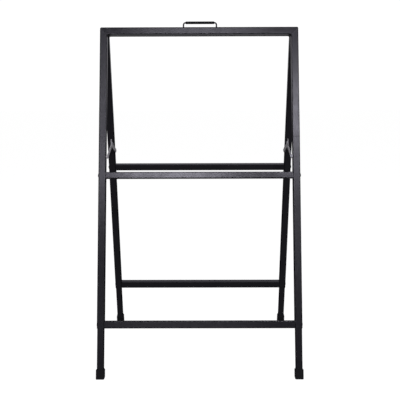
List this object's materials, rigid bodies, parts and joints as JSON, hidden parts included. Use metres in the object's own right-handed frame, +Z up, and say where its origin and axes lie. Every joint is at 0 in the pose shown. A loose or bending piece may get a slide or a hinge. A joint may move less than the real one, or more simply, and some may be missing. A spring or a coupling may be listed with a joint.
{
  "type": "folding a-frame stand",
  "caption": "Folding A-frame stand of square black steel tube: two hinged rectangular frames with open windows, side stays that fold, rubber boots and a carrying handle.",
  "frame": {"origin": "on the floor, midway between the two frames and under the hinge line", "axes": "+X across the stand to its right, +Y from the front frame to the rear frame, +Z up"},
  "size_m": [0.6656, 0.6088, 1.1384],
  "materials": {
    "frame_coat": "satin black powder coat",
    "black_steel": "black coated steel, satin",
    "zinc_steel": "zinc plated, semi-bright",
    "boot_rubber": "matt moulded rubber",
    "grip_plastic": "soft black plastic"
  },
  "bodies": {
    "front_frame": {"front_left_boot": "boot_rubber", "front_left_hinge_lug": "frame_coat", "front_left_leg": "frame_coat", "front_left_post": "frame_coat", "front_lower_rail": "frame_coat", "front_lower_rail_inserts": "zinc_steel", "front_lower_rail_screws": "black_steel", "front_mid_rail": "frame_coat", "front_mid_rail_inserts": "zinc_steel", "front_mid_rail_screws": "black_steel", "front_right_boot": "boot_rubber", "front_right_hinge_lug": "frame_coat", "front_right_leg": "frame_coat", "front_right_post": "frame_coat", "front_stay_rivets": "zinc_steel", "front_stay_spacers": "zinc_steel", "front_top_rail": "frame_coat", "handle_bar": "black_steel", "handle_collars": "black_steel", "handle_grip": "grip_plastic", "left_hinge_pin": "zinc_steel", "left_hinge_washer": "zinc_steel", "right_hinge_pin": "zinc_steel", "right_hinge_washer": "zinc_steel"},
    "rear_frame": {"rear_left_boot": "boot_rubber", "rear_left_hinge_lug": "frame_coat", "rear_left_leg": "frame_coat", "rear_left_post": "frame_coat", "rear_lower_rail": "frame_coat", "rear_lower_rail_inserts": "zinc_steel", "rear_lower_rail_screws": "black_steel", "rear_mid_rail": "frame_coat", "rear_mid_rail_inserts": "zinc_steel", "rear_mid_rail_screws": "black_steel", "rear_right_boot": "boot_rubber", "rear_right_hinge_lug": "frame_coat", "rear_right_leg": "frame_coat", "rear_right_post": "frame_coat", "rear_stay_rivets": "zinc_steel", "rear_stay_spacers": "zinc_steel", "rear_top_rail": "frame_coat"},
    "left_front_stay": {"left_front_link": "zinc_steel", "left_front_knee_rivet": "zinc_steel"},
    "left_rear_stay": {"left_rear_link": "zinc_steel", "left_rear_knee_rivet": "zinc_steel"},
    "right_front_stay": {"right_front_link": "zinc_steel", "right_front_knee_rivet": "zinc_steel"},
    "right_rear_stay": {"right_rear_link": "zinc_steel", "right_rear_knee_rivet": "zinc_steel"}
  },
  "joints": [
    {"name": "fold", "type": "hinge", "parent": "front_frame", "child": "rear_frame", "pos_m": [0, 0, 1.09757], "axis": [-1, 0, 0], "range_deg": [0, 27.5]},
    {"name": "left_front_stay_pivot", "type": "hinge", "parent": "front_frame", "child": "left_front_stay", "pos_m": [-0.3015, -0.12057, 0.69583], "axis": [1, 0, 0], "range_deg": [0, 50.7]},
    {"name": "left_rear_stay_pivot", "type": "hinge", "parent": "rear_frame", "child": "left_rear_stay", "pos_m": [-0.3039, 0.12057, 0.69583], "axis": [-1, 0, 0], "range_deg": [0, 50.7]},
    {"name": "right_front_stay_pivot", "type": "hinge", "parent": "front_frame", "child": "right_front_stay", "pos_m": [0.3015, -0.12057, 0.69583], "axis": [1, 0, 0], "range_deg": [0, 50.7]},
    {"name": "right_rear_stay_pivot", "type": "hinge", "parent": "rear_frame", "child": "right_rear_stay", "pos_m": [0.3039, 0.12057, 0.69583], "axis": [-1, 0, 0], "range_deg": [0, 50.7]}
  ],
  "couplings": [
    {"joint": "left_front_stay_pivot", "follows": "fold", "ratio": 1.8385},
    {"joint": "left_rear_stay_pivot", "follows": "fold", "ratio": 1.8385},
    {"joint": "right_front_stay_pivot", "follows": "fold", "ratio": 1.8385},
    {"joint": "right_rear_stay_pivot", "follows": "fold", "ratio": 1.8385}
  ]
}
